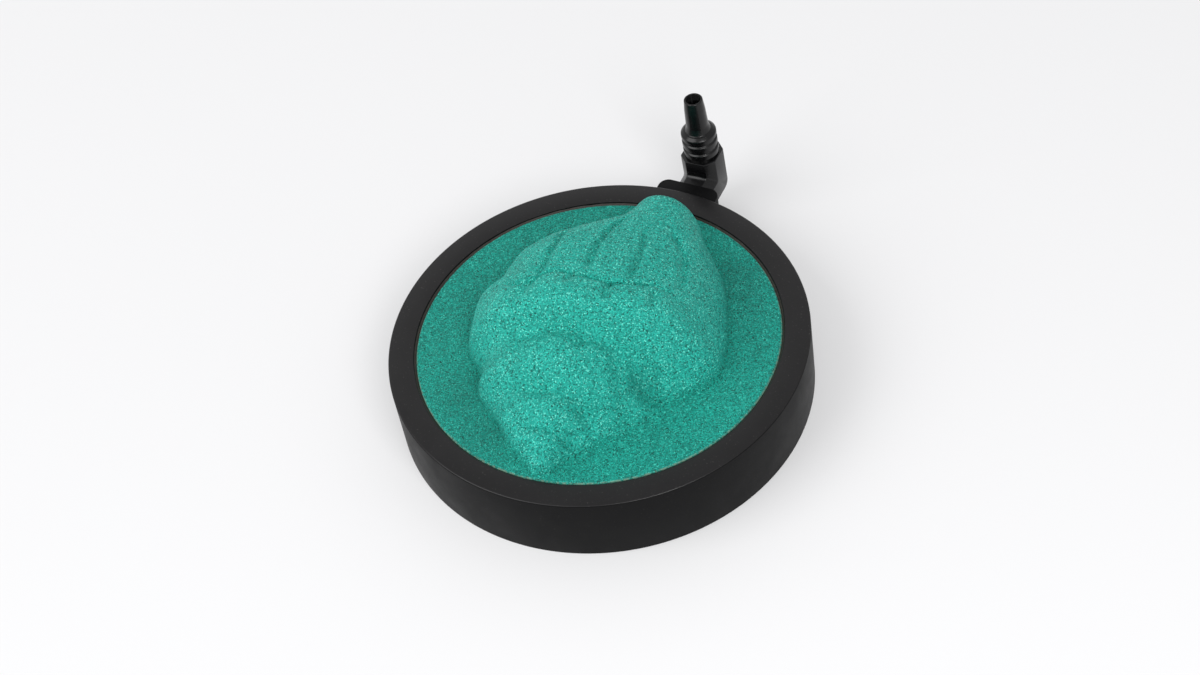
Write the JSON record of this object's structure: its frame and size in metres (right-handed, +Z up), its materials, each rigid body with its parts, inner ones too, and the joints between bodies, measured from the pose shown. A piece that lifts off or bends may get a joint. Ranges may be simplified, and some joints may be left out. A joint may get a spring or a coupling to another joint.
{
  "type": "air stone disc",
  "caption": "Round black aquarium air stone disc: teal porous stone with a conch relief in a shallow tray, with a swivelling elbow hose inlet.",
  "frame": {"origin": "middle of the tray's underside, on the disc's axis", "axes": "+Z up out of the stone's face, +Y from the middle towards the hose inlet, +X to the right seen from the front"},
  "size_m": [0.11, 0.13, 0.0457],
  "materials": {
    "tray": "satin black moulded ABS",
    "stone": "rough bonded mineral granules, teal green",
    "sealant": "cured brownish adhesive",
    "elbow": "semi-gloss black moulded ABS",
    "o_ring": "black nitrile rubber"
  },
  "bodies": {
    "disc": {"tray": "tray", "diffuser_stone": "stone", "stone_sealant": "sealant"},
    "elbow": {"swivel_elbow": "elbow", "inlet_o_ring": "o_ring"}
  },
  "joints": [
    {"name": "inlet_swivel", "type": "hinge", "parent": "disc", "child": "elbow", "pos_m": [0, 0.0608, 0.0105], "axis": [0, 1, 0], "range_deg": [-88, 92]}
  ]
}
